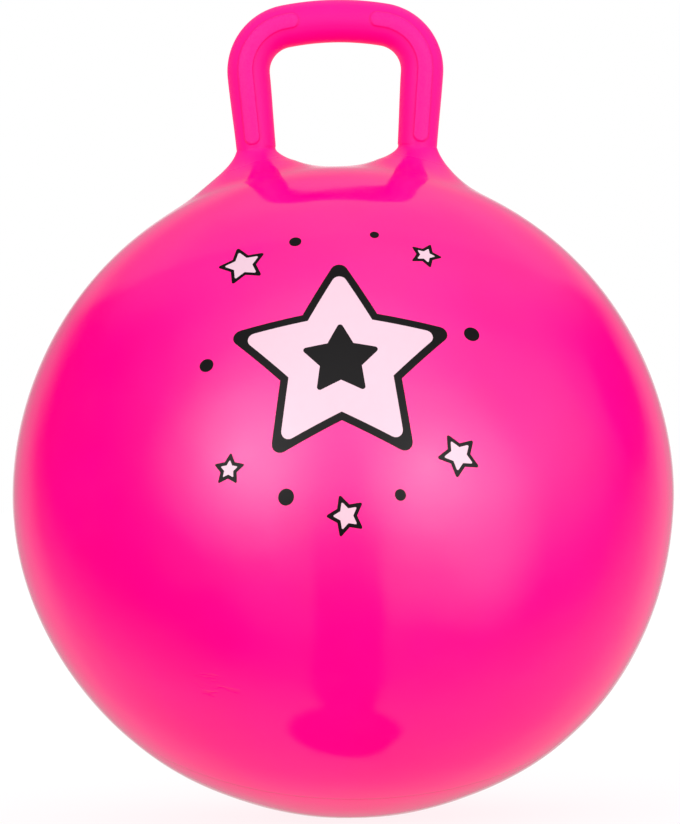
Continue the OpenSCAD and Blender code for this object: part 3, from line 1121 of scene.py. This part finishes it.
def add_camera(plan):
    """The camera, a long way off and nearly level with the ball's middle, rolled as the photograph's is."""
    studio = settings().studio
    focal_pixels = BALL_PIXEL_RADIUS / math.tan(math.asin(plan.radius / studio.distance))
    data = bpy.data.cameras.new("Camera")
    data.sensor_width = SENSOR_WIDTH
    data.lens = focal_pixels * SENSOR_WIDTH / max(FRAME_WIDTH, FRAME_HEIGHT)
    data.clip_end = 100
    camera = bpy.data.objects.new("Camera", data)
    bpy.context.scene.collection.objects.link(camera)
    back = Vector((0, -math.cos(studio.height), math.sin(studio.height)))
    up = Vector((math.sin(studio.roll), 0, math.cos(studio.roll)))
    right = up.cross(back).normalized()
    facing = Matrix((right, back.cross(right), back)).transposed()
    middle = Vector((BALL_MIDDLE[0] - FRAME_WIDTH / 2, FRAME_HEIGHT / 2 - BALL_MIDDLE[1], -focal_pixels))
    aim = middle.rotation_difference(Vector((0, 0, -1))).to_matrix()
    camera.matrix_world = Matrix.Translation(plan.middle + back * studio.distance) @ (facing @ aim).to_4x4()
    bpy.context.scene.camera = camera


# Directions below are azimuths from the camera's side, left negative, and elevations, in degrees from the
# ball's middle. Soft boxes: direction, angle across to half strength, softness of the edge, and strength
SOFT_BOXES = (
    (-35, 15, 5, 35, 5.8),
    (30, 10, 5, 35, 6),
    (0, 40, 25, 40, 2),
    (10, 25, 70, 30, 0.5),
    (75, 15, 20, 25, 0.7),
)
# Square soft boxes: direction, half width, half height, softness, and strength
SQUARE_BOXES = (
    (40, -10, 25, 23, 15, 1.3),
    (-25, 5, 10, 20, 22, 1.8),
)
# Pale paper and walls round the set: direction, angle across, softness, and share of their full light
PAPERS = (
    (175, -50, 60, 18, 0.7),
    (180, -10, 45, 10, 0.4),
    (180, 45, 35, 2, 0.35),
    (-140, 60, 25, 10, 0.4),
    (145, 60, 30, 10, 0.6),
)
PAPER_LIGHT = 0.6
# White backdrop behind the ball, as the camera sees it: direction, angle across and softness
BACKDROP = (180, 0, 12, 8)
# Dark cards: direction, angle across, softness, and share of the light hidden. The last is the stand's foot
CARDS = (
    (125, 15, 12, 3, 0.8),
    (-60, -40, 12, 5, 0.75),
    (30, -25, 10, 8, 0.2),
    (-110, -88, 13, 1.5, 1),
)
# The dark camera stand in front, in parts of a direction of length one: middle and half width above and
# below, softness as a share, and where it shifts, widens, ends above and ends behind
STAND_MIDDLE, STAND_HALF = 0.01, 0.19
LOW_MIDDLE, LOW_HALF = -0.015, 0.115
STAND_SOFT = 0.2
STAND_SHIFT = (-0.95, -0.6)
STAND_WIDEN = (-1.0, -0.9)
STAND_TOP = (-0.82, -0.02)
STAND_BACK = (0.1, 0.3)
# Light on matt surfaces: an even fill, a share of the light above, and the white background and floor with
# the directions over which they come in
FILL = 0.74
LAMP_SHARE = 0.4
BACKGROUND_LIGHT = 0.5
BACKGROUND_RANGE = (-0.1, 0.6)
FLOOR_LIGHT = 0.04
FLOOR_RANGE = (-0.3, 0.1)
# Light off the paper under the ball, tinted by the ball, how much stronger it is, and where it comes in
FLOOR_GLOW = (1.0, 0.78, 0.76)
GLOW_GAIN = 1.18
GLOW_RANGE = (0.0, -0.5)
# The floor: half its side, its paper's colours, and the share of plain white that the camera sees in it
FLOOR_SIZE = 12.0
PAPER_COLOURS = ((0.94, 0.94, 0.94), (0.925, 0.925, 0.925))
FLOOR_WHITE = 0.86
WHITE = (1, 1, 1)


def toward(azimuth, elevation):
    """A direction of length one."""
    a, e = math.radians(azimuth), math.radians(elevation)
    return Vector((math.sin(a) * math.cos(e), -math.cos(a) * math.cos(e), math.sin(e)))


def round_light(tree, azimuth, elevation, half, soft):
    """One within a cone about a direction, falling softly to zero at its edge."""
    off = tree.math("ARCCOSINE", tree.compare("DOT_PRODUCT", toward(azimuth, elevation)))
    return tree.fall(off, math.radians(half - soft), math.radians(half + soft))


def dark_stand(tree, x, y, z):
    """One on the camera stand, and zero round it."""
    middle = tree.ramp(z, *STAND_SHIFT, LOW_MIDDLE, STAND_MIDDLE)
    half = tree.ramp(z, *STAND_WIDEN, LOW_HALF, STAND_HALF)
    across = tree.math("DIVIDE", tree.math("SUBTRACT", x, middle), half)
    column = tree.times(tree.within(across, 0.0, 1.0, STAND_SOFT), tree.fall(z, *STAND_TOP))
    return tree.times(column, tree.fall(y, *STAND_BACK))


def mirrored_light(tree):
    """The studio as the glossy skin mirrors it: soft boxes, pale papers, a white backdrop, a dark stand."""
    x, y, z = tree.split()
    azimuth = tree.math("ARCTAN2", x, tree.times(y, -1.0))
    elevation = tree.math("ARCSINE", z)
    dark = 1.0
    for *cone, paper in PAPERS:
        dark = tree.times(dark, tree.times(round_light(tree, *cone), -paper, 1.0))
    light = tree.times(dark, -PAPER_LIGHT, PAPER_LIGHT)
    for *cone, strength in SOFT_BOXES:
        light = tree.times(round_light(tree, *cone), strength, light)
    for *box, strength in SQUARE_BOXES:
        side, up, width, height, soft = (math.radians(v) for v in box)
        across, upright = tree.within(azimuth, side, width, soft), tree.within(elevation, up, height, soft)
        light = tree.times(tree.times(across, upright), strength, light)
    light = tree.times(light, tree.math("SUBTRACT", 1.0, dark_stand(tree, x, y, z)))
    for *cone, cover in CARDS:
        light = tree.times(light, tree.times(round_light(tree, *cone), -cover, 1.0))
    return tree.between(round_light(tree, *BACKDROP), light, 1.0)


def add_world():
    """Plain white for the camera, the studio where it is mirrored, and soft light on matt surfaces."""
    world = bpy.data.worlds.new("Studio")
    bpy.context.scene.world = world
    tree = Nodes(world, "Generated")
    light = mirrored_light(tree)
    _, back, up = tree.split()
    plain = tree.times(light, LAMP_SHARE, FILL)
    plain = tree.math("ADD", plain, tree.ramp(back, *BACKGROUND_RANGE, 0.0, BACKGROUND_LIGHT))
    plain = tree.math("ADD", plain, tree.ramp(up, *FLOOR_RANGE, FLOOR_LIGHT, 0.0))
    path = tree.add("ShaderNodeLightPath").outputs
    seen = tree.math("MAXIMUM", path["Is Camera Ray"], path["Is Transmission Ray"])
    below = tree.ramp(up, *GLOW_RANGE)
    strength = tree.between(path["Is Glossy Ray"], plain, light)
    strength = tree.times(strength, tree.between(below, 1.0, GLOW_GAIN))
    glow = tree.times(below, tree.math("SUBTRACT", 1.0, seen))
    background = tree.add("ShaderNodeBackground", {
        "Color": tree.mix(glow, WHITE, FLOOR_GLOW), "Strength": tree.between(seen, strength, 1.0),
    })
    tree.add("ShaderNodeOutputWorld", {"Surface": background.outputs[0]})


def floor_material():
    """Pale paper, near white for the camera, which keeps a part of the ball's shadow."""
    tree = Tree("floor paper")
    paper = tree.mix(tree.patches(*PAPER_GRAIN), *PAPER_COLOURS)
    tree.finish(Base_Color=paper, Roughness=0.9, Specular_IOR_Level=0.0)
    white = tree.add("ShaderNodeEmission", {"Color": WHITE, "Strength": 1.0}).outputs[0]
    seen = tree.times(tree.add("ShaderNodeLightPath").outputs["Is Camera Ray"], FLOOR_WHITE)
    both = tree.add("ShaderNodeMixShader", {0: seen, 1: tree.shader.outputs[0], 2: white})
    tree.put(tree.output.inputs["Surface"], both.outputs[0])
    return tree.material


def add_floor():
    """A level floor under the ball, which neither the skin's gloss nor its matt light sees."""
    bm = bmesh.new()
    bmesh.ops.create_grid(bm, x_segments=1, y_segments=1, size=FLOOR_SIZE)
    floor = new_object("floor", bm, floor_material())
    floor.visible_glossy = False
    floor.visible_diffuse = False


class HOPPER_OT_stage(bpy.types.Operator):
    """Make the floor, the studio light and the camera"""

    bl_idname = "hopper.stage"
    bl_label = "Stage"

    def execute(self, context):
        add_camera(Plan())
        add_world()
        add_floor()
        context.scene.view_settings.view_transform = "Standard"
        return {"FINISHED"}


class HOPPER_PT_panel(bpy.types.Panel):
    """Lists the steps that make the ball and its stage"""

    bl_idname = "HOPPER_PT_panel"
    bl_label = "Hopper ball"
    bl_space_type = "VIEW_3D"
    bl_region_type = "UI"
    bl_category = "Hopper ball"

    def draw(self, context):
        for operator in OPERATORS:
            self.layout.operator(operator.bl_idname)


OPERATORS = (HOPPER_OT_skin, HOPPER_OT_handle, HOPPER_OT_print, HOPPER_OT_valve, HOPPER_OT_stage)
GROUPS = (BallSizes, HandleSizes, ValveSizes, PrintSizes, Finishes, Studio, HopperBall)
CLASSES = GROUPS + OPERATORS + (HOPPER_PT_panel,)


def register():
    for cls in CLASSES:
        bpy.utils.register_class(cls)
    bpy.types.Scene.hopper_ball = bpy.props.PointerProperty(type=HopperBall)


def unregister():
    del bpy.types.Scene.hopper_ball
    for cls in reversed(CLASSES):
        bpy.utils.unregister_class(cls)


def main():
    register()
    bpy.ops.hopper.skin()
    bpy.ops.hopper.handle()
    bpy.ops.hopper.print()
    bpy.ops.hopper.valve()
    bpy.ops.hopper.stage()


if __name__ == "__main__":
    main()
